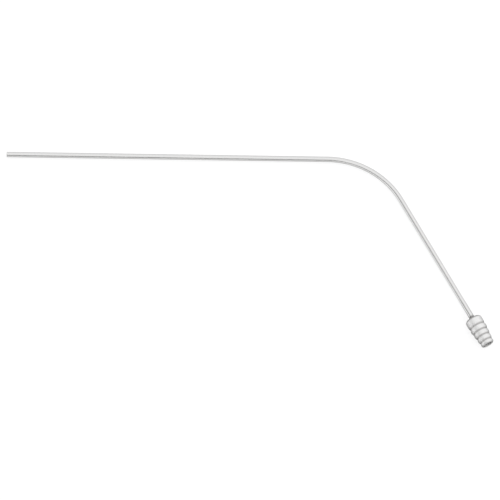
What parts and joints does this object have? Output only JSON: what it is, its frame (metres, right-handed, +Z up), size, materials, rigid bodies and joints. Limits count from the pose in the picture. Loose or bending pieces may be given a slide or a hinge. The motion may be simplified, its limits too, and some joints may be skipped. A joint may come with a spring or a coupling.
{
  "type": "neurosurgical suction tube",
  "caption": "Thin stainless steel suction tube with a long straight working end, one bend and a ribbed olive connector that grips the suction hose.",
  "frame": {"origin": "centre of the tip's mouth, on the tube's axis", "axes": "+X along the straight working length, from the tip to the bend; the handle run bends towards -Y; +Z up from the surface that the tube lies on"},
  "size_m": [0.2283, 0.0939, 0.0081],
  "materials": {
    "tube_steel": "satin, drawn along the tube",
    "connector_steel": "fine-turned and polished to a satin",
    "silver_braze": "matt silver braze alloy"
  },
  "bodies": {
    "root": {"suction_tube": "tube_steel", "hose_connector": "connector_steel", "braze_joint": "silver_braze"}
  },
  "joints": []
}
